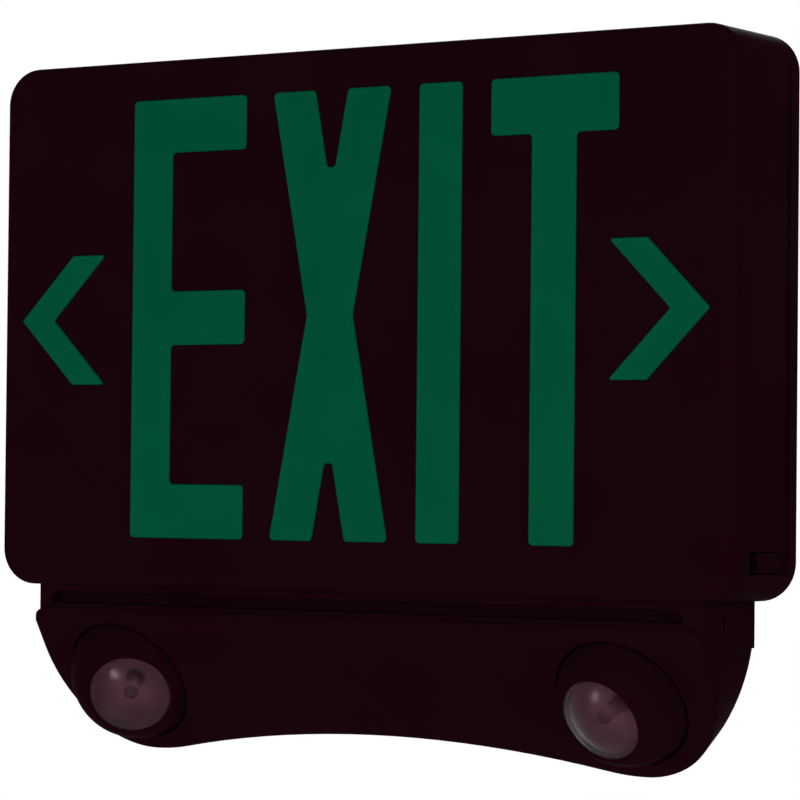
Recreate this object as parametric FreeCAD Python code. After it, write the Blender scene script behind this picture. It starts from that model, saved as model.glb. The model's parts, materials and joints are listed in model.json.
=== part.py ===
import FreeCAD, Part
import math
import os

# An exit sign with an emergency lamp base under it. Sizes are in millimetres: X to the viewer's
# right, Y into the wall, Z up. The origin lies on the wall, behind the middle of the sign.

# Sign case: a front housing that clips over a back plate
sign_width = 297.0
sign_height = 184.0
sign_depth = 43.6
sign_corner = 12.8
sign_front_edge = 4.4
case_wall = 2.2
plate_edge = 6.6
plate_rear_edge = 1.5
plate_floor = 2.5
lip_reach = 2.9
lip_wall = 1.5
slip_gap = 0.25
side_recess_depth = 1.0
side_recess_start = 33.0

# Snap latch in each side: a window in the housing and a tongue of the back plate
latch_front = 33.0
latch_back = 9.0
latch_rise = 12.85
latch_height = 7.3
latch_pocket = 7.3
tongue_wall = 1.8
tongue_gap = 0.5
tongue_flush = 0.2
lip_length = 8.0

# Letters and arrows, as the legend's openings and the pads that fill them
letter_height = 152.4
letter_middle = 1.55
letter_proud = 0.8
letter_corner = 1.6
letter_edge = 0.4
letter_gap = 0.15
stem = 16.7
bar = 18.65
legend_left_gap = 59.2
legend_right_gap = 42.7
letter_spacing = 11.4
x_mouth = 13.6
x_waist = 18.5
x_notch = 3.4
left_arrow_margin = 9.9
right_arrow_margin = 9.1
arrow_height = 45.5
arrow_stroke = 14.2
arrow_corner = 0.6

# Legend panel, light box and the bosses that hold them to the housing
panel_side_gap = 3.8
panel_top_gap = 4.8
panel_corner = 20.0
panel_thick = 1.8
box_depth = 13.0
box_wall = 1.5
boss_radius = 3.0
boss_side_gap = 10.0
boss_height = 60.0
strip_end_gap = 26.0
strip_width = 8.0
strip_thick = 1.5
led_count = 10
led_length = 3.5
led_width = 2.8
led_thick = 1.2

# Screws
screw_radius = 1.5
screw_head_radius = 2.8
screw_head_height = 2.0
screw_gap = 0.05
pilot_depth = 10.0

# Wall fixing and wire entry in the back plate
octagon_spacing = 88.9
gang_spacing = 83.3
fixing_hole = 2.4
entry_hole = 11.0
bushing_bore = 7.0
bushing_flange = 13.5
bushing_flange_thick = 2.0

# Charger board and what it carries
board_side_gap = 8.3
board_bottom = -62.0
board_width = 64.0
board_height = 60.0
board_thick = 1.6
standoff_height = 5.4
standoff_radius = 3.5
board_hole_inset = 4.5
transformer_width = 30.0
transformer_height = 24.0
transformer_depth = 14.0
coil_length = 14.0
capacitor_radius = 5.0
capacitor_length = 18.0
terminal_width = 15.0
terminal_height = 10.0
terminal_depth = 9.0
terminal_hole = 1.7

# Test button and status light in the left side
control_reach = 15.0
button_drop = 50.0
button_radius = 4.0
button_flange_radius = 5.0
button_flange_thick = 1.2
button_stem_radius = 2.5
button_travel = 1.5
button_gap = 0.15
button_stem_length = 3.6
switch_size = 7.0
status_drop = 34.0
status_radius = 2.2
status_block = 5.0

# Battery
cell_radius = 7.2
cell_length = 50.0
cell_count = 3
battery_side_gap = 36.3
battery_z = -40.0
holder_wall = 1.5
holder_rise = 10.0

# Lamp base: neck under the sign, rounded nose, sloping front with two lobes
slope = 31.0
lamp_inset = 35.2
opening_reach = 29.3
opening_drop = 33.5
opening_radius = 23.6
opening_edge = 0.4
lobe_wall = 7.2
socket_wall = 5.2
lobe_inner_radius = 65.0
arch_rise = 10.8
base_width = 270.8
base_shoulder = 12.5
base_wall = 2.2
base_edge = 4.4
nose_radius = 5.0
nose_rise = 22.2
nose_corner = 7.5
neck_reach = 39.0
neck_wall = 6.2
groove_length = 261.0
groove_slant = 5.0
groove_corner = 1.5
groove_height = 4.7
groove_drop = 4.4
groove_depth = 4.0
notch_reach = 25.5
notch_drop = 7.0
notch_height = 6.0
notch_width = 1.4
notch_depth = 1.0
base_split = 10.0
rear_flange = 4.5
rear_floor = 1.2
rear_pad_gap = 0.5
rear_pad_inset = 4.0
base_boss_radius = 4.0
base_screw_inset = 42.6
base_screw_reach = 24.0
rear_screw_inset = 48.6
rear_screw_drop = 22.0
rear_boss_radius = 4.6
rear_sink_radius = 3.2
rear_sink_depth = 5.0
nipple_radius = 6.0
nipple_bore = 4.5
nipple_flange = 8.5
nipple_flange_thick = 1.6
nipple_length = 9.0

# Lamp heads: an eyeball on two pins in a ring that turns in its socket
ball_radius = 23.4
ball_wall = 2.2
ball_setback = 5.5
ball_front = 17.9
ball_rear = 5.8
ball_gap = 0.35
ring_radius = 25.0
ring_front = 2.4
ring_rear = 3.5
ring_gap = 0.3
lip_gap = 0.4
lip_overlap = 0.6
lip_thick = 1.2
pin_radius = 1.6
pin_gap = 0.05
pin_inner = 19.8
lens_radius = 14.3
lens_thick = 1.6
lens_crown = 4.5
lens_inset = 0.6
lens_gap = 0.05
mirror_flange = 0.8
mirror_radius = 13.0
mirror_depth = 11.0
mirror_neck = 3.6
mirror_wall = 0.6
mirror_bulge = 2.2
mirror_gap = 0.2
lamp_board_radius = 6.0
lamp_board_thick = 1.2
lamp_dome = 2.2
head_swivel = {"left": 7.0, "right": -35.0}
head_tilt = {"left": 25.5, "right": -7.0}

vec = FreeCAD.Vector
far = 400.0
half_width = sign_width / 2
half_height = sign_height / 2
face_y = -sign_depth
seam_y = -plate_edge
floor_y = -plate_floor
inner_face_y = face_y + case_wall
panel_back_y = inner_face_y + panel_thick
box_back_y = panel_back_y + box_depth
inner_side = half_width - case_wall
latch_drop = half_height - latch_rise
legend_left = legend_left_gap - half_width
legend_right = half_width - legend_right_gap
letter_width = (legend_right - legend_left - stem - 3 * letter_spacing) / 3
panel_width = 2 * (inner_side - panel_side_gap)
panel_height = 2 * (half_height - case_wall - panel_top_gap)
strip_length = panel_width - 2 * (box_wall + strip_end_gap)
boss_left = legend_left - boss_side_gap
boss_right = legend_right + boss_side_gap
board_left = board_side_gap - inner_side
battery_x = inner_side - battery_side_gap - cell_length / 2
lamp_x = base_width / 2 - lamp_inset
base_screw_x = lamp_x - base_screw_inset
rear_screw_x = lamp_x - rear_screw_inset
recess_face = half_width - side_recess_depth
base_top = -half_height
opening_z = base_top - opening_drop


def block(x, y, z):
    """A box between the low and high value of each axis."""
    size = [high - low for low, high in (x, y, z)]
    return Part.makeBox(*size, vec(x[0], y[0], z[0]))


def rod(radius, start, end):
    axis = end - start
    return Part.makeCylinder(radius, axis.Length, start, axis)


def rod_y(radius, x, z, y_low, y_high):
    return rod(radius, vec(x, y_low, z), vec(x, y_high, z))


def edges_along(shape, axis):
    """Straight edges that run along one axis."""
    lines = [edge for edge in shape.Edges if edge.Curve.TypeId == "Part::GeomLine"]
    return [edge for edge in lines if abs(edge.tangentAt(edge.FirstParameter).dot(axis)) > 0.999]


def edges_at_y(shape, y):
    """Edges that lie wholly in one plane across Y."""
    return [edge for edge in shape.Edges if abs(edge.BoundBox.YMin - y) + abs(edge.BoundBox.YMax - y) < 1e-4]


def rounded_plate(width, height, corner, y_low, y_high):
    plate = block((-width / 2, width / 2), (y_low, y_high), (-height / 2, height / 2))
    return plate.makeFillet(corner, edges_along(plate, vec(0, 1, 0)))


def case_section(inset, y_low, y_high):
    """The sign's outline, drawn in by an inset, between two depths."""
    return rounded_plate(sign_width - 2 * inset, sign_height - 2 * inset, sign_corner - inset, y_low, y_high)


def join(first, others):
    return first.fuse(list(others)).removeSplitter()


def letter_outlines():
    """Corner points of the four letters and the two arrows, with the radius of their corners."""
    low = letter_middle - letter_height / 2
    top = letter_middle + letter_height / 2
    bar_low = letter_middle - bar / 2
    bar_top = letter_middle + bar / 2
    e_left = legend_left
    e_right = e_left + letter_width
    e_stem = e_left + stem
    e_shape = [
        (e_left, low), (e_right, low), (e_right, low + bar), (e_stem, low + bar), (e_stem, bar_low),
        (e_right, bar_low), (e_right, bar_top), (e_stem, bar_top), (e_stem, top - bar), (e_right, top - bar),
        (e_right, top), (e_left, top),
    ]
    x_middle = e_right + letter_spacing + letter_width / 2
    x_lean = (letter_width - x_waist) / letter_height
    mouth_depth = (x_mouth - x_notch) / 2 / x_lean
    x_right = [
        (x_waist / 2, letter_middle), (letter_width / 2, top),
        (x_mouth / 2, top), (x_notch / 2, top - mouth_depth),
    ]
    x_upper = x_right + [(-x, z) for x, z in reversed(x_right)]
    x_lower = [(x, 2 * letter_middle - z) for x, z in reversed(x_upper) if z != letter_middle]
    x_shape = [(x_middle + x, z) for x, z in x_upper + x_lower]
    i_left = e_right + 2 * letter_spacing + letter_width
    i_shape = [(i_left, low), (i_left + stem, low), (i_left + stem, top), (i_left, top)]
    t_right = legend_right
    t_left = t_right - letter_width
    t_stem = t_left + (letter_width - stem) / 2
    t_shape = [
        (t_stem, low), (t_stem + stem, low), (t_stem + stem, top - bar), (t_right, top - bar),
        (t_right, top), (t_left, top), (t_left, top - bar), (t_stem, top - bar),
    ]
    letters = [(shape, letter_corner) for shape in (e_shape, x_shape, i_shape, t_shape)]
    arrows = [arrow_outline(-1, left_arrow_margin), arrow_outline(1, right_arrow_margin)]
    return letters + [(arrow, arrow_corner) for arrow in arrows]


def arrow_outline(side, margin):
    """A chevron that points to one side, its tip a margin in from the sign's edge."""
    tip = half_width - margin
    heel = tip - arrow_stroke
    rise = arrow_height / 2
    upper = [(tip, 0), (tip - rise, rise), (heel - rise, rise), (heel, 0)]
    lower = [(heel - rise, -rise), (tip - rise, -rise)]
    return [(side * x, letter_middle + z) for x, z in upper + lower]


def letter_prisms(grow, y_low, y_high):
    """Letters and arrows as rounded prisms, grown all round by a clearance."""
    prisms = []
    for points, corner in letter_outlines():
        ring = [vec(x, y_low, z) for x, z in points + points[:1]]
        outline = Part.Face(Part.makePolygon(ring))
        if grow:
            outline = outline.makeOffset2D(grow, join=2)
        prism = outline.extrude(vec(0, y_high - y_low, 0))
        prisms.append(prism.makeFillet(corner + grow, edges_along(prism, vec(0, 1, 0))))
    return prisms


def boss_places():
    return [(x, z) for x in (boss_left, boss_right) for z in (-boss_height, boss_height)]


def screw(x, z, y_seat, length):
    """A pan-head screw driven towards the viewer, its head seated at a depth."""
    head = rod_y(screw_head_radius, x, z, y_seat, y_seat + screw_head_height)
    head = head.makeFillet(screw_head_height / 3, edges_at_y(head, y_seat + screw_head_height))
    return head.fuse(rod_y(screw_radius, x, z, y_seat - length, y_seat)).removeSplitter()


def screw_in(x, z, y_seat):
    """A pan-head screw driven towards the wall, its head seated at a depth."""
    head = rod_y(screw_head_radius, x, z, y_seat - screw_head_height, y_seat)
    return head.fuse(rod_y(screw_radius, x, z, y_seat, floor_y - 1)).removeSplitter()


def latch_span(gap):
    return -latch_drop - latch_height / 2 + gap, -latch_drop + latch_height / 2 - gap


def front_housing():
    shell = case_section(0, face_y, seam_y)
    shell = shell.makeFillet(sign_front_edge, edges_at_y(shell, face_y))
    shell = shell.cut(case_section(case_wall, inner_face_y, 0))
    bosses = [rod_y(boss_radius, x, z, inner_face_y, box_back_y - box_wall) for x, z in boss_places()]
    shell = join(shell, bosses)
    cuts = letter_prisms(letter_gap, face_y - 1, inner_face_y + 1)
    for x, z in boss_places():
        cuts.append(rod_y(screw_radius + screw_gap, x, z, box_back_y - box_wall - pilot_depth, 0))
    floor_span = (-half_height - 1, -half_height + case_wall + 1)
    for side in (-1, 1):
        recess = sorted((side * recess_face, side * (half_width + 1)))
        cuts.append(block(recess, (-side_recess_start, 0), (-half_height + 1, half_height - 1)))
        window = sorted((side * (inner_side - 1), side * (half_width + 1)))
        cuts.append(block(window, (-latch_front, -latch_back), latch_span(0)))
        cuts.append(rod(screw_radius + screw_gap, *base_screw_line(side, *floor_span)))
    cuts.append(rod(nipple_radius + screw_gap, *nipple_line(*floor_span)))
    cuts.append(control_rod(button_radius + button_gap, button_drop, half_width + 1, inner_side - 1))
    cuts.append(control_rod(status_radius + screw_gap, status_drop, half_width + 1, inner_side - 1))
    return shell.cut(cuts)


def control_rod(radius, drop, outer, inner):
    """A rod across the left side, between two distances from the sign's middle."""
    return rod(radius, vec(-outer, -control_reach, -drop), vec(-inner, -control_reach, -drop))


def base_screw_line(side, low, high):
    place = vec(side * base_screw_x, -base_screw_reach, 0)
    return place + vec(0, 0, low), place + vec(0, 0, high)


def nipple_line(low, high):
    return vec(0, -base_screw_reach, low), vec(0, -base_screw_reach, high)


def back_plate():
    plate = case_section(0, seam_y, 0)
    plate = plate.makeFillet(plate_rear_edge, edges_at_y(plate, 0))
    plate = plate.cut(case_section(case_wall, seam_y - 1, floor_y))
    lip_inset = case_wall + slip_gap
    lip = case_section(lip_inset, seam_y - lip_reach, floor_y)
    lip = lip.cut(case_section(lip_inset + lip_wall, seam_y - lip_reach - 1, floor_y + 1))
    standoffs = [rod_y(standoff_radius, x, z, floor_y - standoff_height, floor_y) for x, z in board_holes()]
    plate = join(plate, [lip, *standoffs, latch_tongue(1), latch_tongue(-1)])
    holes = [rod_y(entry_hole, 0, 0, floor_y - 1, 1)]
    holes += [rod_y(fixing_hole, side * octagon_spacing / 2, 0, floor_y - 1, 1) for side in (-1, 1)]
    holes += [rod_y(fixing_hole, 0, side * gang_spacing / 2, floor_y - 1, 1) for side in (-1, 1)]
    board_y = floor_y - standoff_height
    holes += [rod_y(screw_radius + screw_gap, x, z, board_y - 1, floor_y - 1) for x, z in board_holes()]
    return plate.cut(holes)


def latch_tongue(side):
    """A springy arm along the side wall; its lip fills the window's rear part, flush with the recess."""
    span_z = latch_span(tongue_gap)
    arm_outer = inner_side - slip_gap
    arm_inner = arm_outer - tongue_wall
    tip_y = latch_pocket - latch_front
    arm_y = tip_y + lip_length
    rear_y = -latch_back - tongue_gap
    lip_face = recess_face - tongue_flush
    arm = block(sorted((side * arm_inner, side * arm_outer)), (arm_y, floor_y), span_z)
    outline = [
        (lip_face - tongue_wall, tip_y), (lip_face, tip_y), (lip_face, rear_y),
        (arm_inner, rear_y), (arm_inner, arm_y),
    ]
    ring = [vec(side * x, y, span_z[0]) for x, y in outline + outline[:1]]
    lip = Part.Face(Part.makePolygon(ring)).extrude(vec(0, 0, span_z[1] - span_z[0]))
    arm = arm.common(case_section(case_wall + slip_gap, arm_y, 0))
    return join(arm, [lip.common(case_section(tongue_flush, tip_y, 0))])


def letter_panel():
    plate = rounded_plate(panel_width, panel_height, panel_corner, inner_face_y, panel_back_y)
    span_y = (inner_face_y - 1, panel_back_y + 1)
    holes = [rod_y(boss_radius + slip_gap, x, z, *span_y) for x, z in boss_places()]
    pads = []
    for prism in letter_prisms(0, face_y - letter_proud, panel_back_y):
        pads.append(prism.makeChamfer(letter_edge, edges_at_y(prism, face_y - letter_proud)))
    return join(plate.cut(holes), pads)


def light_box():
    tray = rounded_plate(panel_width, panel_height, panel_corner, panel_back_y, box_back_y)
    hollow = rounded_plate(
        panel_width - 2 * box_wall, panel_height - 2 * box_wall, panel_corner - box_wall,
        panel_back_y - 1, box_back_y - box_wall,
    )
    holes = [rod_y(screw_radius + screw_gap, x, z, 0, -far) for x, z in boss_places()]
    return tray.cut([hollow, *holes])


def led_strips():
    """Circuit strips along the light box's top and bottom walls, and the emitters on them."""
    strips = {}
    emitters = []
    wall_z = panel_height / 2 - box_wall
    middle_y = (panel_back_y + box_back_y - box_wall) / 2
    pitch = strip_length / led_count
    for name, side in (("upper", 1), ("lower", -1)):
        strip_z = sorted((side * wall_z, side * (wall_z - strip_thick)))
        span_y = (middle_y - strip_width / 2, middle_y + strip_width / 2)
        strips[name] = block((-strip_length / 2, strip_length / 2), span_y, strip_z)
        led_z = sorted((side * (wall_z - strip_thick), side * (wall_z - strip_thick - led_thick)))
        led_y = (middle_y - led_width / 2, middle_y + led_width / 2)
        for number in range(led_count):
            x = (number + 0.5) * pitch - strip_length / 2
            emitters.append(block((x - led_length / 2, x + led_length / 2), led_y, led_z))
    return strips, Part.makeCompound(emitters)


def wire_bushing():
    body = rod_y(entry_hole - screw_gap, 0, 0, floor_y, 0)
    flange = rod_y(bushing_flange, 0, 0, floor_y - bushing_flange_thick, floor_y)
    flange = flange.makeFillet(bushing_flange_thick / 3, edges_at_y(flange, floor_y - bushing_flange_thick))
    return join(body, [flange]).cut(rod_y(bushing_bore, 0, 0, -far, far))


def board_holes():
    xs = (board_left + board_hole_inset, board_left + board_width - board_hole_inset)
    zs = (board_bottom + board_hole_inset, board_bottom + board_height - board_hole_inset)
    return [(x, z) for x in xs for z in zs]


board_back_y = floor_y - standoff_height
board_face_y = board_back_y - board_thick


def charger_board():
    span_x = (board_left, board_left + board_width)
    board = block(span_x, (board_face_y, board_back_y), (board_bottom, board_bottom + board_height))
    return board.cut([rod_y(screw_radius + screw_gap, x, z, -far, 0) for x, z in board_holes()])


def transformer():
    """A laminated core with its coil round the middle leg."""
    right = board_left + board_width - 2 * board_hole_inset - standoff_radius
    top = board_bottom + board_height - 2
    core_x = (right - transformer_width, right)
    core_z = (top - transformer_height, top)
    core_y = (board_face_y - transformer_depth, board_face_y)
    core = block(core_x, core_y, core_z)
    core = core.makeChamfer(0.6, edges_along(core, vec(0, 1, 0)))
    middle_x = sum(core_x) / 2
    leg = coil_length / 4
    windows = [
        block((middle_x - coil_length / 2, middle_x - leg), core_y, (core_z[0] + leg, core_z[1] - leg)),
        block((middle_x + leg, middle_x + coil_length / 2), core_y, (core_z[0] + leg, core_z[1] - leg)),
    ]
    coil_z = (core_z[0] + leg, core_z[1] - leg)
    coil = block((middle_x - coil_length / 2, middle_x + coil_length / 2), core_y, coil_z)
    coil = coil.makeFillet(leg / 2, edges_along(coil, vec(0, 0, 1)))
    return join(core.cut(windows), [coil])


def capacitor():
    x = board_left + board_width / 2 - capacitor_radius
    y = board_face_y - capacitor_radius
    low = vec(x, y, board_bottom + board_hole_inset)
    can = rod(capacitor_radius, low, low + vec(0, 0, capacitor_length))
    rims = [edge for edge in can.Edges if edge.Curve.TypeId == "Part::GeomCircle"]
    return can.makeFillet(capacitor_radius / 6, rims)


def terminal_block():
    right = board_left + board_width - 1
    low = board_bottom + 2 * board_hole_inset + standoff_radius
    span_y = (board_face_y - terminal_depth, board_face_y)
    body = block((right - terminal_height, right), span_y, (low, low + terminal_width))
    entries = []
    for number in range(3):
        z = low + (number + 0.5) * terminal_width / 3
        middle_y = board_face_y - terminal_depth / 3
        inner = vec(right - terminal_height / 2, middle_y, z)
        entries.append(rod(terminal_hole, inner, vec(right + 1, middle_y, z)))
        entries.append(rod_y(terminal_hole, right - terminal_height / 2, z, -far, middle_y - terminal_hole))
    return body.cut(entries)


def test_button():
    """A push button: cap in the side wall, flange behind it, stem down to the switch."""
    cap = control_rod(button_radius, button_drop, half_width, inner_side - button_gap)
    rim = [edge for edge in cap.Edges if abs(edge.BoundBox.XMax + half_width) < 1e-4]
    cap = cap.makeFillet(button_radius / 6, rim)
    flange_outer = inner_side - button_gap
    flange_inner = flange_outer - button_flange_thick
    flange = control_rod(button_flange_radius, button_drop, flange_outer, flange_inner)
    stem_end = flange_inner - button_stem_length
    return join(cap, [flange, control_rod(button_stem_radius, button_drop, flange_inner, stem_end)])


switch_face = inner_side - button_gap - button_flange_thick - button_stem_length - button_travel - button_gap


def test_switch():
    half = switch_size / 2
    span_y = (-control_reach - half, board_face_y)
    span_x = (-switch_face, -switch_face + switch_size)
    body = block(span_x, span_y, (-button_drop - half, -button_drop + half))
    return body.makeChamfer(switch_size / 12, edges_along(body, vec(0, 1, 0)))


def status_light():
    """A light pipe in the side wall with its lamp on the board."""
    half = status_block / 2
    pipe = control_rod(status_radius, status_drop, recess_face, switch_face)
    span_y = (-control_reach - half, board_face_y)
    span_x = (-switch_face, -switch_face + status_block)
    lamp = block(span_x, span_y, (-status_drop - half, -status_drop + half))
    return join(pipe, [lamp])


def battery_pack():
    """Cells side by side in one sleeve."""
    cells = []
    for number in range(cell_count):
        z = battery_z + (number - (cell_count - 1) / 2) * 2 * cell_radius
        start = vec(battery_x - cell_length / 2, floor_y - holder_wall - cell_radius, z)
        cells.append(rod(cell_radius, start, start + vec(cell_length, 0, 0)))
    web_z = (cell_count - 1) * cell_radius
    middle_y = floor_y - holder_wall - cell_radius
    web_y = (middle_y - cell_radius / 2, middle_y + cell_radius / 2)
    web_x = (battery_x - cell_length / 2, battery_x + cell_length / 2)
    return join(cells[0], [*cells[1:], block(web_x, web_y, (battery_z - web_z, battery_z + web_z))])


def battery_holder():
    """An open tray on the back plate."""
    half_x = cell_length / 2 + slip_gap
    half_z = cell_count * cell_radius + slip_gap
    span_x = (battery_x - half_x, battery_x + half_x)
    span_z = (battery_z - half_z, battery_z + half_z)
    outer_x = (span_x[0] - holder_wall, span_x[1] + holder_wall)
    outer_z = (span_z[0] - holder_wall, span_z[1] + holder_wall)
    tray = block(outer_x, (floor_y - holder_rise, floor_y), outer_z)
    tray = tray.makeFillet(holder_wall, edges_along(tray, vec(0, 1, 0)))
    return tray.cut(block(span_x, (-far, floor_y - holder_wall), span_z))


def arc(middle, radius, start, end):
    """An arc edge in the local XY plane between two angles in degrees."""
    points = []
    for angle in (start, (start + end) / 2, end):
        turn = math.radians(angle)
        points.append(vec(middle[0] + radius * math.cos(turn), middle[1] + radius * math.sin(turn), 0))
    return Part.Arc(*points).toShape()


def heading(start, end):
    return math.degrees(math.atan2(end[1] - start[1], end[0] - start[0]))


slope_turn = FreeCAD.Rotation(vec(1, 0, 0), 90 + slope)
slope_frame = FreeCAD.Placement(vec(0, -opening_reach, opening_z), slope_turn)
outward = slope_turn.multVec(vec(0, 0, 1))
uphill = slope_turn.multVec(vec(0, 1, 0))
nose_middle = slope_frame.multVec(vec(0, nose_rise, -nose_radius))
nose_end = math.degrees(math.acos((-neck_reach - nose_middle.y) / nose_radius))
neck_low = nose_middle.z + nose_radius * math.sin(math.radians(nose_end))


def base_outline(inset):
    """The base's face on the slope: straight sides, a lobe round each lamp and an arch between them."""
    side = base_width / 2 - inset
    lobe = opening_radius + lobe_wall - inset
    reach = side - lamp_x
    flank_radius = (reach ** 2 + base_shoulder ** 2 - lobe ** 2) / (2 * (reach - lobe))
    flank = (side - flank_radius, base_shoulder)
    lobe_middle = (lamp_x, 0)
    flank_end = heading(flank, lobe_middle)
    inner_radius = lobe_inner_radius - inset
    inner_middle = (lamp_x, inner_radius - lobe)
    arch_radius = (lamp_x ** 2 + arch_rise ** 2) / (2 * arch_rise) - inner_radius
    arch_middle = (0, arch_rise - lobe - arch_radius)
    arch_end = heading(arch_middle, inner_middle)
    right = [
        Part.LineSegment(vec(side, far / 2, 0), vec(side, base_shoulder, 0)).toShape(),
        arc(flank, flank_radius, 0, flank_end),
        arc(lobe_middle, lobe, flank_end, -90),
        arc(inner_middle, inner_radius, -90, arch_end - 180),
    ]
    left = [edge.mirror(vec(0, 0, 0), vec(1, 0, 0)) for edge in right]
    top = Part.LineSegment(vec(-side, far / 2, 0), vec(side, far / 2, 0)).toShape()
    arch = arc(arch_middle, arch_radius, arch_end, 180 - arch_end)
    return Part.Face(Part.Wire(Part.__sortEdges__(right + left + [top, arch])))


def base_body(inset, radius, nose_stop, edge_radius):
    """The outline carried straight back from the slope, under the nose's side profile."""
    prism = base_outline(inset).extrude(vec(0, 0, -far / 2))
    if edge_radius:
        face_edges = [edge for edge in prism.Edges if edge.BoundBox.ZMin > -1e-4]
        rim = [edge for edge in face_edges if edge.BoundBox.YMin < far / 2 - 1]
        prism = prism.makeFillet(edge_radius, rim)
    prism.Placement = slope_frame
    nose = []
    for angle in (180 + slope, (180 + slope + nose_stop) / 2, nose_stop):
        turn = math.radians(angle)
        nose.append(nose_middle + vec(-far / 2, radius * math.cos(turn), radius * math.sin(turn)))
    foot = nose[0] - uphill * far / 2
    corners = [nose[2], vec(-far / 2, far / 2, nose[2].z), vec(-far / 2, far / 2, foot.z), foot, nose[0]]
    edges = [Part.Arc(*nose).toShape()]
    edges += [Part.LineSegment(first, last).toShape() for first, last in zip(corners, corners[1:])]
    profile = Part.Face(Part.Wire(edges)).extrude(vec(far, 0, 0))
    return prism.common(profile)


def front_corners_rounded(shape):
    corners = [edge for edge in edges_along(shape, vec(0, 0, 1)) if edge.BoundBox.YMax < 0]
    return shape.makeFillet(base_edge, corners)


def base_outside():
    body = base_body(0, nose_radius, nose_end, base_edge)
    half = base_width / 2
    plan = block((-half, half), (nose_middle.y - nose_radius, far / 2), (-far / 2, base_top))
    front = block((-half, half), (-far / 2, far / 2), (-far / 2, neck_low))
    shoulders = [edge for edge in edges_along(front, vec(0, 1, 0)) if edge.BoundBox.ZMin > -far / 2]
    body = body.common(front_corners_rounded(plan)).common(front.makeFillet(nose_corner, shoulders))
    neck = block((-half, half), (-neck_reach, far / 2), (neck_low - nose_corner, base_top))
    return join(body, [front_corners_rounded(neck)])


def base_space(inset):
    """The room inside the base when its walls are drawn in by an inset."""
    half = base_width / 2 - inset
    body = base_body(inset, nose_radius - base_wall, 90, 0)
    neck = block((-half, half), (neck_wall - neck_reach, far / 2), (nose_middle.z, base_top - inset))
    return join(body, [neck])


def slab(shape, y_low, y_high):
    return shape.common(block((-far, far), (y_low, y_high), (-far, far)))


def groove():
    """A long recess across the neck, wider at its foot than at its head."""
    middle = base_top - groove_drop
    low = middle - groove_height / 2
    high = middle + groove_height / 2
    foot = groove_length / 2
    head = foot - groove_slant
    front_y = -neck_reach - nose_radius
    outline = [(-foot, low), (foot, low), (head, high), (-head, high), (-foot, low)]
    ring = [vec(x, front_y, z) for x, z in outline]
    recess = Part.Face(Part.makePolygon(ring)).extrude(vec(0, nose_radius + groove_depth, 0))
    return recess.makeFillet(groove_corner, edges_along(recess, vec(0, 1, 0)))


def side_notch(side):
    """A short upright slot in the neck's end for prising the base off."""
    half = base_width / 2
    span_x = sorted((side * (half - notch_depth), side * (half + 1)))
    span_y = (-notch_reach - notch_width / 2, -notch_reach + notch_width / 2)
    middle = base_top - notch_drop
    return block(span_x, span_y, (middle - notch_height / 2, middle + notch_height / 2))


def rear_screw_places():
    return [(-rear_screw_x, base_top - rear_screw_drop), (rear_screw_x, base_top - rear_screw_drop)]


def lamp_frame(side):
    sign = {"left": -1, "right": 1}[side]
    middle = slope_frame.multVec(vec(sign * lamp_x, 0, -ball_setback))
    return FreeCAD.Placement(middle, slope_turn)


def on_ring(shape, side):
    """Places a shape in the lamp and turns it about the opening's axis."""
    swivel = FreeCAD.Rotation(vec(0, 0, 1), head_swivel[side])
    shape.Placement = lamp_frame(side).multiply(FreeCAD.Placement(vec(0, 0, 0), swivel))
    return shape


def on_head(shape, side):
    """Places a shape in the ring and tips it on the pins."""
    tilt = FreeCAD.Rotation(vec(0, 1, 0), head_tilt[side])
    ring = on_ring(shape, side).Placement
    shape.Placement = ring.multiply(FreeCAD.Placement(vec(0, 0, 0), tilt))
    return shape


def rod_z(radius, z_low, z_high):
    return rod(radius, vec(0, 0, z_low), vec(0, 0, z_high))


def lamp_socket(side):
    """The collar behind the wall in which the ring turns."""
    front = ball_setback - base_wall / 2
    collar = rod_z(opening_radius + socket_wall, -ring_rear - lip_gap - lip_thick, front)
    collar.Placement = lamp_frame(side)
    return collar


def lamp_opening(side):
    """The round hole for the eyeball with a bevelled mouth, the ring's groove and the lip behind it."""
    groove_front = ring_front + lip_gap
    mouth = ball_setback - opening_edge
    hole = rod_z(opening_radius, 0, ball_setback + 1)
    flare = 2 * opening_edge
    bevel = Part.makeCone(opening_radius, opening_radius + flare, flare, vec(0, 0, mouth))
    ring_groove = rod_z(ring_radius + ring_gap, -ring_rear - lip_gap, groove_front)
    lip_hole = rod_z(ring_radius - lip_overlap, -ball_radius, 0)
    hole = hole.fuse([bevel, ring_groove, lip_hole])
    hole.Placement = lamp_frame(side)
    return hole


def base_front(outside, space):
    rear_y = -base_split
    shell = slab(outside, -far, rear_y).cut(space)
    bosses = [lamp_socket(side) for side in ("left", "right")]
    bosses += [rod_y(base_boss_radius, x, z, -far / 4, rear_y) for x, z in rear_screw_places()]
    post_low = base_top - base_wall - pilot_depth
    bosses += [rod(base_boss_radius, *base_screw_line(side, post_low, base_top)) for side in (-1, 1)]
    inside = slab(outside, -far, rear_y)
    shell = join(shell, [boss.common(inside) for boss in bosses])
    cuts = [lamp_opening(side) for side in ("left", "right")]
    pilot = screw_radius + screw_gap
    cuts += [rod_y(pilot, x, z, rear_y - pilot_depth, rear_y + 1) for x, z in rear_screw_places()]
    cuts += [rod(pilot, *base_screw_line(side, post_low, base_top + 1)) for side in (-1, 1)]
    cuts.append(rod(nipple_radius + screw_gap, *nipple_line(base_top - base_wall - 1, base_top + 1)))
    cuts += [groove(), side_notch(-1), side_notch(1)]
    return shell.cut(cuts)


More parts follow.
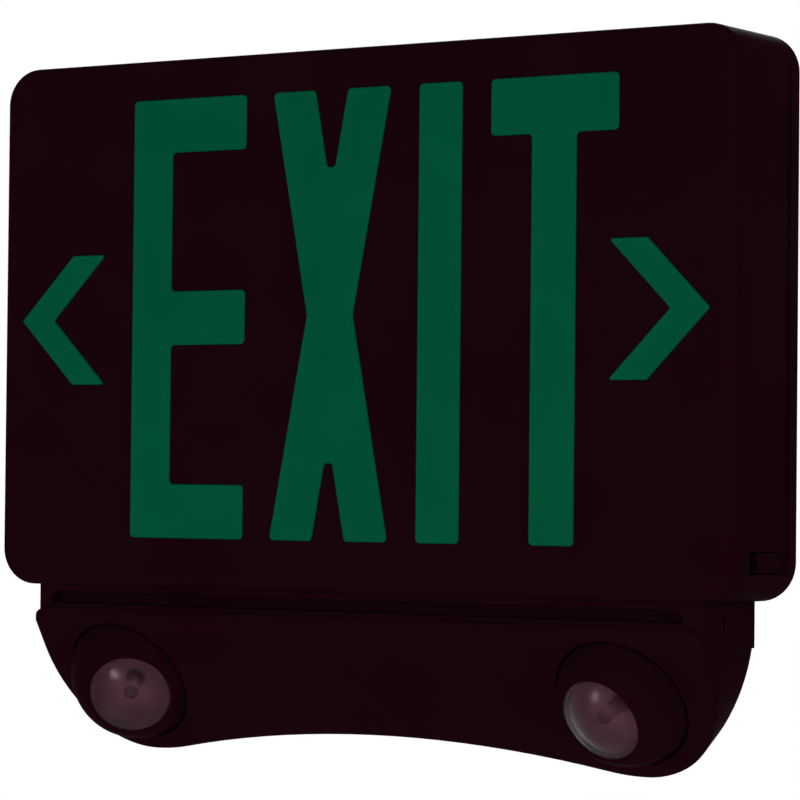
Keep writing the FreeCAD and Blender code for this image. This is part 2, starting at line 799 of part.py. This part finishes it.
def base_rear(outside, space):
    """A cover with a flange against the front shell and a raised pad that reaches the wall."""
    flange = slab(outside, -base_split, -rear_flange)
    pad = slab(base_space(rear_pad_inset), -rear_flange, -rear_pad_gap)
    cover = join(flange, [pad])
    cover = cover.cut(slab(space, -base_split, -rear_flange - rear_floor))
    well = base_space(rear_pad_inset + rear_floor)
    cover = cover.cut(slab(well, -rear_flange - rear_floor, -rear_pad_gap - rear_floor))
    posts = [rod_y(rear_boss_radius, x, z, -base_split, -rear_pad_gap) for x, z in rear_screw_places()]
    cover = join(cover, posts)
    cuts = []
    for x, z in rear_screw_places():
        cuts.append(rod_y(screw_radius + screw_gap, x, z, -far, 0))
        cuts.append(rod_y(rear_sink_radius, x, z, -rear_pad_gap - rear_sink_depth, 1))
    return cover.cut(cuts)


def base_nipple():
    """The sleeve that carries the wires from the sign down into the base."""
    seat = base_top + case_wall
    sleeve = rod(nipple_radius, *nipple_line(seat - nipple_length, seat + nipple_flange_thick))
    flange = rod(nipple_flange, *nipple_line(seat, seat + nipple_flange_thick))
    bore = rod(nipple_bore, *nipple_line(-far, far))
    return join(sleeve, [flange]).cut(bore)


def base_screws():
    """Two screws down through the sign's floor into the base."""
    seat = base_top + case_wall
    screws = []
    for side in (-1, 1):
        head = rod(screw_head_radius, *base_screw_line(side, seat, seat + screw_head_height))
        shank = rod(screw_radius, *base_screw_line(side, base_top - pilot_depth, seat))
        screws.append(join(head, [shank]))
    return Part.makeCompound(screws)


def swivel_ring(side):
    ring = rod_z(ring_radius, -ring_rear, ring_front).cut(Part.makeSphere(ball_radius + ball_gap))
    ring = ring.cut(rod(pin_radius + screw_gap, vec(0, -far, 0), vec(0, far, 0)))
    return on_ring(ring, side)


def pivot_pins(side):
    pin_outer = ring_radius - ring_gap
    pins = [rod(pin_radius, vec(0, end * pin_inner, 0), vec(0, end * pin_outer, 0)) for end in (-1, 1)]
    return on_ring(Part.makeCompound(pins), side)


lens_seat = ball_front - lens_inset - lens_thick - mirror_flange


def head_shell(side):
    """A ball cut flat in front and behind, hollow, with a stepped bore for mirror and lens."""
    ball = Part.makeSphere(ball_radius).common(rod_z(far / 2, -ball_rear, ball_front))
    hollow = Part.makeSphere(ball_radius - ball_wall).common(rod_z(far / 2, -far / 2, lens_seat - ball_wall))
    flare = 2 * lens_inset
    rim = Part.makeCone(lens_radius, lens_radius + flare, flare, vec(0, 0, ball_front - lens_inset))
    bores = [
        hollow,
        rod_z(lens_radius + lens_gap, lens_seat, ball_front + 1),
        rod_z(mirror_radius + mirror_wall + mirror_gap, 0, ball_front),
        rod(pin_radius + pin_gap, vec(0, -far, 0), vec(0, far, 0)),
        rim,
    ]
    return on_head(ball.cut(bores), side)


def spun(points_and_curves):
    """A solid of revolution about the local Z axis from edges in the XZ plane."""
    return Part.Face(Part.Wire(points_and_curves)).revolve(vec(0, 0, 0), vec(0, 0, 1), 360)


def line(start, end):
    return Part.LineSegment(vec(start[0], 0, start[1]), vec(end[0], 0, end[1])).toShape()


def curve(start, middle, end):
    return Part.Arc(*(vec(x, 0, z) for x, z in (start, middle, end))).toShape()


def lamp_mirror(side):
    """A bowl with a flange under the lens and a neck for the emitter."""
    front = lens_seat + mirror_flange
    bottom = lens_seat - mirror_depth
    inner_front = (mirror_radius, front)
    inner_bottom = (mirror_neck, bottom)
    outer_bottom = (mirror_neck + mirror_wall, bottom)
    outer_front = (mirror_radius + mirror_wall, lens_seat)
    middle_radius = (mirror_radius + mirror_neck) / 2 + mirror_bulge
    inner_middle = (middle_radius, (front + bottom) / 2 - mirror_bulge)
    outer_middle = (inner_middle[0] + mirror_wall, inner_middle[1] - mirror_wall)
    flange = lens_radius - lens_gap
    bowl = spun([
        curve(inner_front, inner_middle, inner_bottom),
        line(inner_bottom, outer_bottom),
        curve(outer_bottom, outer_middle, outer_front),
        line(outer_front, (flange, lens_seat)),
        line((flange, lens_seat), (flange, front)),
        line((flange, front), inner_front),
    ])
    return on_head(bowl, side)


def lamp_emitter(side):
    """A round board against the mirror's neck with a domed emitter."""
    seat = lens_seat - mirror_depth
    board = rod_z(lamp_board_radius, seat - lamp_board_thick, seat)
    dome = Part.makeSphere(lamp_dome, vec(0, 0, seat)).common(rod_z(far, seat, far))
    return on_head(join(board, [dome]), side)


def lamp_lens(side):
    """A clear dome of even thickness that stands on the mirror's flange."""
    back = lens_seat + mirror_flange
    top = back + lens_thick + lens_crown
    crown_radius = (lens_radius ** 2 + lens_crown ** 2) / (2 * lens_crown)
    middle = vec(0, 0, top - crown_radius)
    dome = rod_z(lens_radius, back, top).common(Part.makeSphere(crown_radius, middle))
    return on_head(dome.cut(Part.makeSphere(crown_radius - lens_thick, middle)), side)


def build():
    strips, emitters = led_strips()
    outside = base_outside()
    space = base_space(base_wall)
    rear_seat = -rear_pad_gap - rear_sink_depth
    rear_screws = [screw(x, z, rear_seat, pilot_depth) for x, z in rear_screw_places()]
    parts = {
        "front_housing": front_housing(),
        "back_plate": back_plate(),
        "letter_panel": letter_panel(),
        "light_box": light_box(),
        "upper_led_strip": strips["upper"],
        "lower_led_strip": strips["lower"],
        "sign_leds": emitters,
        "panel_screws": Part.makeCompound([screw(x, z, box_back_y, pilot_depth) for x, z in boss_places()]),
        "wire_bushing": wire_bushing(),
        "charger_board": charger_board(),
        "board_screws": Part.makeCompound([screw_in(x, z, board_face_y) for x, z in board_holes()]),
        "transformer": transformer(),
        "capacitor": capacitor(),
        "terminal_block": terminal_block(),
        "test_switch": test_switch(),
        "test_button": test_button(),
        "status_light": status_light(),
        "battery_pack": battery_pack(),
        "battery_holder": battery_holder(),
        "base_front": base_front(outside, space),
        "base_rear": base_rear(outside, space),
        "base_nipple": base_nipple(),
        "base_screws": base_screws(),
        "rear_screws": Part.makeCompound(rear_screws),
    }
    for side in ("left", "right"):
        parts[side + "_swivel_ring"] = swivel_ring(side)
        parts[side + "_pivot_pins"] = pivot_pins(side)
        parts[side + "_head_shell"] = head_shell(side)
        parts[side + "_mirror"] = lamp_mirror(side)
        parts[side + "_emitter"] = lamp_emitter(side)
        parts[side + "_lens"] = lamp_lens(side)
    return parts


os.makedirs("parts", exist_ok=True)
for node, shape in build().items():
    shape.exportStep("parts/" + node + ".step")
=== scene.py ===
import bmesh
import bpy
import json
import math
import numpy as np
from mathutils import Matrix, Vector


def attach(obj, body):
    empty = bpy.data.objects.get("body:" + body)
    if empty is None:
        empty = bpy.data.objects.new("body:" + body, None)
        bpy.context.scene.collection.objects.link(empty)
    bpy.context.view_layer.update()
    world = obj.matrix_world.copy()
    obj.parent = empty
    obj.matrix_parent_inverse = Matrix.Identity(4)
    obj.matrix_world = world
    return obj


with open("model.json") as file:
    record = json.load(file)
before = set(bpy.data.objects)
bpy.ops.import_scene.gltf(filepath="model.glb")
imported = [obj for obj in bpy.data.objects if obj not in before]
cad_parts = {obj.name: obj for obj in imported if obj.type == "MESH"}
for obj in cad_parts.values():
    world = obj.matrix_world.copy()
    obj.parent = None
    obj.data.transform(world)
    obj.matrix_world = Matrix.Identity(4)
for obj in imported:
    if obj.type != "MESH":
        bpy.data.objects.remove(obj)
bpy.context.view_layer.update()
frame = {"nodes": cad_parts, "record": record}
nodes = frame["nodes"]
print("frame loaded with", len(nodes), "nodes")

# the place and turn of the photograph's camera, with its lens and sensor in millimetres
photoView = {
    "place": (0.68107, -1.04245, -0.05534),
    "right": (0.83506, 0.55006, 0.01014),
    "up": (0.00446, -0.02520, 0.99967),
    "lens": 162.0,
    "sensor": 36.0,
    "farthest": 30.0,
}


def setCamera():
    data = bpy.data.cameras.new("photoCamera")
    data.lens = photoView["lens"]
    data.sensor_width = photoView["sensor"]
    data.sensor_fit = "HORIZONTAL"
    data.clip_end = photoView["farthest"]
    camera = bpy.data.objects.new("photoCamera", data)
    right = Vector(photoView["right"]).normalized()
    up = Vector(photoView["up"]).normalized()
    back = right.cross(up)
    turn = Matrix((right, up, back)).transposed().to_4x4()
    camera.matrix_world = Matrix.Translation(photoView["place"]) @ turn
    bpy.context.scene.collection.objects.link(camera)
    bpy.context.scene.camera = camera


studio = {
    "ambient": 0.33,  # what dull surfaces get from all round
    "white": (1, 1, 1, 1),
    "aim": (0, -0.02, -0.02),
    # name, place, size in metres, power in watts, and what it lights
    "softBoxes": (
        ("frontBox", (0.95, -1.45, 0.6), 0.8, 4.2, "all"),
        ("sideBox", (1.6, -0.5, 0.3), 0.8, 12.5, "all"),
        ("topBox", (-0.3, -1.3, 1.3), 0.9, 2.2, "all"),
        ("lowBox", (-0.41, -1.24, -0.26), 0.66, 7.2, "dull"),
        ("lensBox", (-0.105, -0.392, -0.174), 0.1, 0.85, "gloss"),
        ("underBox", (0.2, -0.75, -0.85), 0.9, 3.5, "dull"),
        ("backBox", (-0.7, 1.4, 0.6), 0.9, 22.0, "all"),
    ),
}


def whiteWorld():
    # the room is white to the eye, in gloss and through the lenses, and dimmer as light
    world = bpy.data.worlds.new("paleRoom")
    bpy.context.scene.world = world
    world.use_nodes = True
    tree = world.node_tree
    tree.nodes.clear()
    out = tree.nodes.new("ShaderNodeOutputWorld")
    seen = tree.nodes.new("ShaderNodeBackground")
    seen.inputs["Color"].default_value = studio["white"]
    seen.inputs["Strength"].default_value = 1.0
    room = tree.nodes.new("ShaderNodeBackground")
    room.inputs["Color"].default_value = studio["white"]
    room.inputs["Strength"].default_value = studio["ambient"]
    rays = tree.nodes.new("ShaderNodeLightPath")
    shown = mathOn(tree, "MAXIMUM", rays.outputs["Is Camera Ray"], rays.outputs["Is Glossy Ray"])
    shown = mathOn(tree, "MAXIMUM", shown, rays.outputs["Is Transmission Ray"])
    mix = tree.nodes.new("ShaderNodeMixShader")
    tree.links.new(shown, mix.inputs["Fac"])
    tree.links.new(room.outputs[0], mix.inputs[1])
    tree.links.new(seen.outputs[0], mix.inputs[2])
    tree.links.new(mix.outputs[0], out.inputs["Surface"])


def softBoxes():
    # a dull box leaves no highlight, the gloss box is a highlight only, none shows through a lens
    aim = Vector(studio["aim"])
    for name, place, size, power, lights in studio["softBoxes"]:
        data = bpy.data.lights.new(name, "AREA")
        data.shape = "DISK"
        data.size = size
        data.energy = power
        lamp = bpy.data.objects.new(name, data)
        lamp.visible_camera = False
        lamp.visible_transmission = False
        lamp.visible_glossy = lights != "dull"
        lamp.visible_diffuse = lights != "gloss"
        lamp.location = place
        lamp.rotation_euler = (aim - Vector(place)).to_track_quat("-Z", "Y").to_euler()
        bpy.context.scene.collection.objects.link(lamp)


def meshFrom(name, points, faces):
    mesh = bpy.data.meshes.new(name)
    mesh.from_pydata(np.asarray(points).tolist(), [], [list(face) for face in faces])
    mesh.polygons.foreach_set("use_smooth", np.full(len(mesh.polygons), True))
    mesh.update()
    piece = bpy.data.objects.new(name, mesh)
    bpy.context.scene.collection.objects.link(piece)
    return piece


floorPaint = {
    "level": -1.1,
    "size": 2.4,
    "colour": (0.82, 0.82, 0.81, 1.0),
    "rough": 0.9,
    "specular": 0.1,
    "lift": 0.6,  # how far the floor is brought up to the white room for the camera
}


def paleFloor():
    # a flat grid of four corners under the sign
    half = floorPaint["size"] / 2
    level = floorPaint["level"]
    corners = [(-half, -half, level), (half, -half, level), (half, half, level), (-half, half, level)]
    floor = meshFrom("paleFloor", corners, [(0, 1, 2, 3)])
    material, shader, tree = newFinish("paleFloorPaint")
    shader.inputs["Base Color"].default_value = floorPaint["colour"]
    shader.inputs["Roughness"].default_value = floorPaint["rough"]
    shader.inputs["Specular IOR Level"].default_value = floorPaint["specular"]
    rays = tree.nodes.new("ShaderNodeLightPath")
    lift = mathOn(tree, "MULTIPLY", rays.outputs["Is Camera Ray"], floorPaint["lift"])
    shader.inputs["Emission Color"].default_value = studio["white"]
    tree.links.new(lift, shader.inputs["Emission Strength"])
    floor.data.materials.append(material)


def newFinish(name):
    material = bpy.data.materials.new(name)
    material.use_nodes = True
    tree = material.node_tree
    return material, tree.nodes["Principled BSDF"], tree


def feed(tree, value, socket):
    # a socket of another node is linked, and a plain value is set
    if isinstance(value, bpy.types.NodeSocket):
        tree.links.new(value, socket)
    else:
        socket.default_value = value


def mathOn(tree, operation, first, second=0.0):
    step = tree.nodes.new("ShaderNodeMath")
    step.operation = operation
    feed(tree, first, step.inputs[0])
    feed(tree, second, step.inputs[1])
    return step.outputs[0]


def vectorOn(tree, operation, first, second=(0, 0, 0), result="Vector"):
    step = tree.nodes.new("ShaderNodeVectorMath")
    step.operation = operation
    feed(tree, first, step.inputs[0])
    feed(tree, second, step.inputs[1])
    return step.outputs[result]


def objectPlace(tree):
    return tree.nodes.new("ShaderNodeTexCoord").outputs["Object"]


def noiseOn(tree, scale, detail=3.0, stretch=(1, 1, 1)):
    place = tree.nodes.new("ShaderNodeMapping")
    place.inputs["Scale"].default_value = stretch
    noise = tree.nodes.new("ShaderNodeTexNoise")
    noise.inputs["Scale"].default_value = scale
    noise.inputs["Detail"].default_value = detail
    tree.links.new(objectPlace(tree), place.inputs["Vector"])
    tree.links.new(place.outputs["Vector"], noise.inputs["Vector"])
    return noise.outputs["Fac"]


def rampOf(tree, source, low, high, span=(0.3, 0.7)):
    ramp = tree.nodes.new("ShaderNodeValToRGB")
    for stop, place, tone in zip(ramp.color_ramp.elements, span, (low, high)):
        stop.position = place
        stop.color = (*tone, 1)
    tree.links.new(source, ramp.inputs["Fac"])
    return ramp.outputs["Color"]


def varyGloss(tree, shader, source, rough):
    low, high = rough
    tree.links.new(rampOf(tree, source, (low,) * 3, (high,) * 3), shader.inputs["Roughness"])


def grainBump(tree, shader, source, relief):
    strength, depth = relief
    bump = tree.nodes.new("ShaderNodeBump")
    bump.inputs["Strength"].default_value = strength
    bump.inputs["Distance"].default_value = depth
    tree.links.new(source, bump.inputs["Height"])
    tree.links.new(bump.outputs["Normal"], shader.inputs["Normal"])


def fadeTo(tree, tone, height, span, endTone):
    # carries a tone over to another one between two heights
    fade = tree.nodes.new("ShaderNodeMapRange")
    fade.interpolation_type = "SMOOTHSTEP"
    fade.inputs["From Min"].default_value = span[0]
    fade.inputs["From Max"].default_value = span[1]
    tree.links.new(height, fade.inputs["Value"])
    mix = tree.nodes.new("ShaderNodeMix")
    mix.data_type = "RGBA"
    tree.links.new(fade.outputs["Result"], mix.inputs["Factor"])
    tree.links.new(tone, mix.inputs["A"])
    mix.inputs["B"].default_value = (*endTone, 1)
    return mix.outputs["Result"]


# cloud and grain are noise scales, relief is the bump's strength and its depth in metres
mouldedGrain = {"cloud": 22.0, "grain": 1400.0, "grainDetail": 2.0, "relief": (0.25, 0.00006)}

mouldings = {
    "black_plastic": {
        "name": "blackMoulding",
        "low": (0.0074, 0.0009, 0.0026),
        "high": (0.0087, 0.0017, 0.0034),
        "rough": (0.48, 0.60),
        "specular": 0.0006,
    },
    "green_legend": {
        "name": "greenLegend",
        "low": (0.0003, 0.0580, 0.0262),
        "high": (0.0006, 0.0645, 0.0296),
        "rough": (0.30, 0.38),
        "specular": 0.002,
        "cloud": 40.0,
        "grain": 700.0,
        "relief": (0.1, 0.00006),
    },
    "white_plastic": {
        "name": "whiteMoulding",
        "low": (0.74, 0.74, 0.72),
        "high": (0.82, 0.82, 0.80),
        "rough": (0.4, 0.55),
        "specular": 0.4,
    },
    "emitter": {
        "name": "phosphor",
        "low": (0.055, 0.032, 0.040),
        "high": (0.070, 0.042, 0.050),
        "rough": (0.2, 0.3),
        "specular": 0.05,
        "cloud": 300.0,
    },
    "bushing_rubber": {
        "name": "blackRubber",
        "low": (0.006, 0.006, 0.006),
        "high": (0.011, 0.011, 0.01),
        "rough": (0.6, 0.8),
        "specular": 0.02,
    },
    "capacitor_sleeve": {
        "name": "blueSleeve",
        "low": (0.02, 0.03, 0.11),
        "high": (0.03, 0.04, 0.15),
        "rough": (0.2, 0.3),
        "specular": 0.4,
    },
    "terminal_plastic": {
        "name": "greenTerminal",
        "low": (0.02, 0.2, 0.06),
        "high": (0.03, 0.25, 0.08),
        "rough": (0.3, 0.4),
        "specular": 0.4,
    },
    "switch_plastic": {
        "name": "switchBlack",
        "low": (0.012, 0.012, 0.012),
        "high": (0.02, 0.02, 0.02),
        "rough": (0.4, 0.5),
        "specular": 0.3,
    },
    "button_plastic": {
        "name": "redButton",
        "low": (0.20, 0.008, 0.010),
        "high": (0.26, 0.012, 0.014),
        "rough": (0.35, 0.45),
        "specular": 0.02,
    },
    "status_plastic": {
        "name": "redLens",
        "low": (0.30, 0.01, 0.008),
        "high": (0.40, 0.016, 0.012),
        "rough": (0.12, 0.2),
        "specular": 0.04,
    },
    "battery_sleeve": {
        "name": "batterySleeve",
        "low": (0.012, 0.06, 0.22),
        "high": (0.016, 0.08, 0.27),
        "rough": (0.2, 0.32),
        "specular": 0.4,
    },
}


def mouldedFinish(slot):
    # two close tones in soft clouds, with a fine spark-eroded grain in gloss and relief
    tone = {**mouldedGrain, **mouldings[slot]}
    material, shader, tree = newFinish(tone["name"])
    clouds = noiseOn(tree, tone["cloud"])
    tree.links.new(rampOf(tree, clouds, tone["low"], tone["high"]), shader.inputs["Base Color"])
    speck = noiseOn(tree, tone["grain"], tone["grainDetail"])
    varyGloss(tree, shader, speck, tone["rough"])
    shader.inputs["Specular IOR Level"].default_value = tone["specular"]
    grainBump(tree, shader, speck, tone["relief"])
    return material


metalGrain = {"grain": 900.0, "grainDetail": 2.0, "stretch": (1, 1, 1), "relief": (0.08, 0.00003)}

metals = {
    "screw_steel": {
        "name": "platedSteel",
        "low": (0.45, 0.45, 0.46),
        "high": (0.62, 0.61, 0.60),
        "rough": (0.25, 0.4),
    },
    "core_steel": {
        "name": "laminatedCore",
        "low": (0.06, 0.06, 0.065),
        "high": (0.2, 0.2, 0.2),
        "rough": (0.35, 0.5),
        "stretch": (1, 6, 1),
        "grain": 500.0,
    },
}


def metalFinish(slot):
    # plated or drawn metal: tone and gloss vary along fine streaks
    tone = {**metalGrain, **metals[slot]}
    material, shader, tree = newFinish(tone["name"])
    shader.inputs["Metallic"].default_value = 1.0
    streaks = noiseOn(tree, tone["grain"], tone["grainDetail"], tone["stretch"])
    tree.links.new(rampOf(tree, streaks, tone["low"], tone["high"]), shader.inputs["Base Color"])
    varyGloss(tree, shader, streaks, tone["rough"])
    grainBump(tree, shader, streaks, tone["relief"])
    return material


lensTones = {
    "tint": (0.92, 0.86, 0.89, 1.0),
    "gleam": (1.0, 0.80, 0.84, 1.0),
    "rough": (0.15, 0.19),
    "ior": 1.12,
    "haze": 60.0,
    "relief": (0.05, 0.0002),
}


def clearLensFinish():
    # clear moulding with faint flow haze
    material, shader, tree = newFinish("clearLens")
    shader.inputs["Base Color"].default_value = lensTones["tint"]
    shader.inputs["Transmission Weight"].default_value = 1.0
    shader.inputs["IOR"].default_value = lensTones["ior"]
    shader.inputs["Specular Tint"].default_value = lensTones["gleam"]
    haze = noiseOn(tree, lensTones["haze"])
    varyGloss(tree, shader, haze, lensTones["rough"])
    grainBump(tree, shader, haze, lensTones["relief"])
    return material


# the tip of each lamp head about its pins, in degrees, as it stands in the frame
headTilt = {"left": 25.5, "right": -7.0}
mmPerMetre = 1000.0


def headAxes(side):
    # the lens axis is the swivel axis tipped about the pins
    hinges = {joint["name"]: joint for joint in frame["record"]["behaviour"]["joints"]}
    swivel = np.array(hinges[side + "_swivel"]["axis"])
    pins = np.array(hinges[side + "_tilt"]["axis"])
    turn = math.radians(headTilt[side])
    axis = math.cos(turn) * swivel + math.sin(turn) * np.cross(pins, swivel)
    return np.array(hinges[side + "_tilt"]["pos_m"]), axis, pins


def headHeights(tree, side):
    # millimetres along the lens axis from the ball's middle, and out from that axis
    middle, axis = headAxes(side)[:2]
    away = vectorOn(tree, "SUBTRACT", objectPlace(tree), middle)
    along = vectorOn(tree, "DOT_PRODUCT", away, axis, "Value")
    aside = vectorOn(tree, "CROSS_PRODUCT", away, axis)
    reach = vectorOn(tree, "LENGTH", aside, result="Value")
    return mathOn(tree, "MULTIPLY", along, mmPerMetre), mathOn(tree, "MULTIPLY", reach, mmPerMetre)


mirrorTones = {
    "low": (0.134, 0.058, 0.080),
    "high": (0.168, 0.072, 0.100),
    "rough": (0.46, 0.54),
    "metallic": 0.45,
    "edgeTint": (0.25, 0.12, 0.16, 1.0),
    "specular": 0.02,
    "flange": (0.075, 0.032, 0.045),
    "flangeSpan": (15.2, 15.6),
    "cloud": 120.0,
    "cloudDetail": 2.0,
    "ringsPerMm": 2.0,
    "relief": (0.1, 0.00002),
}


def mirrorFinish(side):
    # dull plating that has clouded with age, with turned rings and a dark flange under the lens
    material, shader, tree = newFinish(side + "LampMirror")
    shader.inputs["Metallic"].default_value = mirrorTones["metallic"]
    shader.inputs["Specular Tint"].default_value = mirrorTones["edgeTint"]
    shader.inputs["Specular IOR Level"].default_value = mirrorTones["specular"]
    clouds = noiseOn(tree, mirrorTones["cloud"], mirrorTones["cloudDetail"])
    tone = rampOf(tree, clouds, mirrorTones["low"], mirrorTones["high"])
    height, reach = headHeights(tree, side)
    tone = fadeTo(tree, tone, height, mirrorTones["flangeSpan"], mirrorTones["flange"])
    tree.links.new(tone, shader.inputs["Base Color"])
    varyGloss(tree, shader, clouds, mirrorTones["rough"])
    phase = mathOn(tree, "MULTIPLY", reach, mirrorTones["ringsPerMm"] * 2 * math.pi)
    grainBump(tree, shader, mathOn(tree, "SINE", phase), mirrorTones["relief"])
    return material


# the tray's walls are painted black where they face outward: painted shade where the white wall shows
# through the latch windows
trayTones = {
    "low": (0.74, 0.74, 0.72),
    "high": (0.82, 0.82, 0.80),
    "rim": (0.006, 0.002, 0.003),
    "rimSpan": (0.02, 0.03),
    "inWall": (1, 0, 1),  # keeps what lies along the wall and drops the depth
    "rough": (0.5, 0.6),
    "specular": 0.1,
    "cloud": 22.0,
    "relief": (0.1, 0.00005),
}


def trayFinish():
    # the painted shade goes on where the surface faces away from the sign's middle line
    material, shader, tree = newFinish("whiteTray")
    clouds = noiseOn(tree, trayTones["cloud"])
    tone = rampOf(tree, clouds, trayTones["low"], trayTones["high"])
    facing = tree.nodes.new("ShaderNodeNewGeometry").outputs["Normal"]
    fromMiddle = vectorOn(tree, "MULTIPLY", objectPlace(tree), trayTones["inWall"])
    outward = vectorOn(tree, "DOT_PRODUCT", fromMiddle, facing, "Value")
    # painted shade: faces turned outward fade to black
    tone = fadeTo(tree, tone, outward, trayTones["rimSpan"], trayTones["rim"])
    tree.links.new(tone, shader.inputs["Base Color"])
    varyGloss(tree, shader, clouds, trayTones["rough"])
    shader.inputs["Specular IOR Level"].default_value = trayTones["specular"]
    grainBump(tree, shader, clouds, trayTones["relief"])
    return material


boardTones = {
    "lacquer": (0.012, 0.11, 0.035, 1),
    "lacquerPale": (0.016, 0.14, 0.045, 1),
    "track": (0.035, 0.22, 0.075, 1),
    "trackScale": 160.0,
    "trackWidth": 0.06,
    "turn": (math.pi / 2, 0, 0),  # stands the pattern up along the wall
    "rough": 0.3,
    "relief": (0.2, 0.00005),
}


def boardFinish():
    # lacquered board: copper tracks show through as paler bands
    material, shader, tree = newFinish("lacqueredBoard")
    tracks = tree.nodes.new("ShaderNodeTexBrick")
    tracks.inputs["Scale"].default_value = boardTones["trackScale"]
    tracks.inputs["Color1"].default_value = boardTones["lacquer"]
    tracks.inputs["Color2"].default_value = boardTones["lacquerPale"]
    tracks.inputs["Mortar"].default_value = boardTones["track"]
    tracks.inputs["Mortar Size"].default_value = boardTones["trackWidth"]
    turn = tree.nodes.new("ShaderNodeMapping")
    turn.inputs["Rotation"].default_value = boardTones["turn"]
    tree.links.new(objectPlace(tree), turn.inputs["Vector"])
    tree.links.new(turn.outputs["Vector"], tracks.inputs["Vector"])
    tree.links.new(tracks.outputs["Color"], shader.inputs["Base Color"])
    shader.inputs["Roughness"].default_value = boardTones["rough"]
    grainBump(tree, shader, tracks.outputs["Fac"], boardTones["relief"])
    return material


# millimetres along the lens axis from the middle of the ball
bulb = {
    "foot": 3.9,
    "tip": 17.2,
    "radius": 2.5,
    "wall": 0.25,
    "arcSteps": 12,
    "sectors": 48,
    "low": (0.272, 0.122, 0.170),
    "high": (0.312, 0.141, 0.195),
    "cap": (0.052, 0.024, 0.036),
    "capSpan": (12.5, 16.7),
    "rough": (0.45, 0.55),
    "specular": 0.0,
    "frost": 900.0,
    "frostDetail": 2.0,
    "relief": (0.1, 0.00003),
}


def bulbFinish(side):
    # frosted glass that goes darker towards the tip
    material, shader, tree = newFinish(side + "FrostedBulb")
    frost = noiseOn(tree, bulb["frost"], bulb["frostDetail"])
    height = headHeights(tree, side)[0]
    tone = rampOf(tree, frost, bulb["low"], bulb["high"])
    tone = fadeTo(tree, tone, height, bulb["capSpan"], bulb["cap"])
    tree.links.new(tone, shader.inputs["Base Color"])
    varyGloss(tree, shader, frost, bulb["rough"])
    shader.inputs["Specular IOR Level"].default_value = bulb["specular"]
    grainBump(tree, shader, frost, bulb["relief"])
    return material


def makeBulb(side):
    # a capsule turned about the lens axis: a straight wall under a half round, outside and in
    middle, axis, pins = headAxes(side)
    crossAxis = np.cross(axis, pins)
    quarter = np.linspace(0, math.pi / 2, bulb["arcSteps"])
    outer = bulb["radius"]
    inner = outer - bulb["wall"]
    shoulder = bulb["tip"] - outer
    foot = [bulb["foot"]]
    radius = np.concatenate(([outer], outer * np.cos(quarter), inner * np.cos(quarter[::-1]), [inner]))
    outside = shoulder + outer * np.sin(quarter)
    inside = shoulder + inner * np.sin(quarter[::-1])
    height = np.concatenate((foot, outside, inside, foot))
    angle = np.linspace(0, 2 * math.pi, bulb["sectors"], endpoint=False)
    ring = np.cos(angle)[:, None] * pins + np.sin(angle)[:, None] * crossAxis
    points = height[:, None, None] * axis + radius[:, None, None] * ring[None]
    points = middle + points.reshape(-1, 3) / mmPerMetre
    rows, columns = np.meshgrid(np.arange(len(radius)), np.arange(len(angle)), indexing="ij")
    nextRow = (rows + 1) % len(radius)
    nextColumn = (columns + 1) % len(angle)
    corners = ((rows, columns), (rows, nextColumn), (nextRow, nextColumn), (nextRow, columns))
    faces = np.stack([row * len(angle) + column for row, column in corners], axis=-1)
    piece = meshFrom(side + "Bulb", points, faces.reshape(-1, 4).tolist())
    closePoles(piece.data)
    piece.data.materials.append(bulbFinish(side))
    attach(piece, side + "_head")


def closePoles(mesh):
    # points that meet at a pole, to a thousandth of a millimetre, become one
    mergeWithin = 0.000001
    work = bmesh.new()
    work.from_mesh(mesh)
    bmesh.ops.remove_doubles(work, verts=work.verts, dist=mergeWithin)
    bmesh.ops.recalc_face_normals(work, faces=work.faces)
    work.to_mesh(mesh)
    work.free()


def makeFinishes():
    # by the record's slots, with the tray and the mirrors by their own names
    finishes = {slot: mouldedFinish(slot) for slot in mouldings}
    finishes.update({slot: metalFinish(slot) for slot in metals})
    finishes["circuit_board"] = boardFinish()
    finishes["clear_lens"] = clearLensFinish()
    finishes["light_box"] = trayFinish()
    finishes["left_mirror"] = mirrorFinish("left")
    finishes["right_mirror"] = mirrorFinish("right")
    return finishes


def paintNodes(finishes):
    # each node wears its own finish, or that of its slot in the record
    for entry in frame["record"]["subparts"]:
        piece = nodes[entry["node"]]
        finish = finishes.get(entry["node"]) or finishes[entry["material_slot"]]
        if not piece.material_slots:
            piece.data.materials.append(finish)
        for slot in piece.material_slots:
            slot.material = finish


setCamera()
whiteWorld()
softBoxes()
paleFloor()
print("camera, lights and floor set")
paintNodes(makeFinishes())
print("finishes on", len(nodes), "nodes")
makeBulb("left")
makeBulb("right")
print("bulbs set in both lamp heads")

bpy.context.scene.view_settings.view_transform = "Standard"
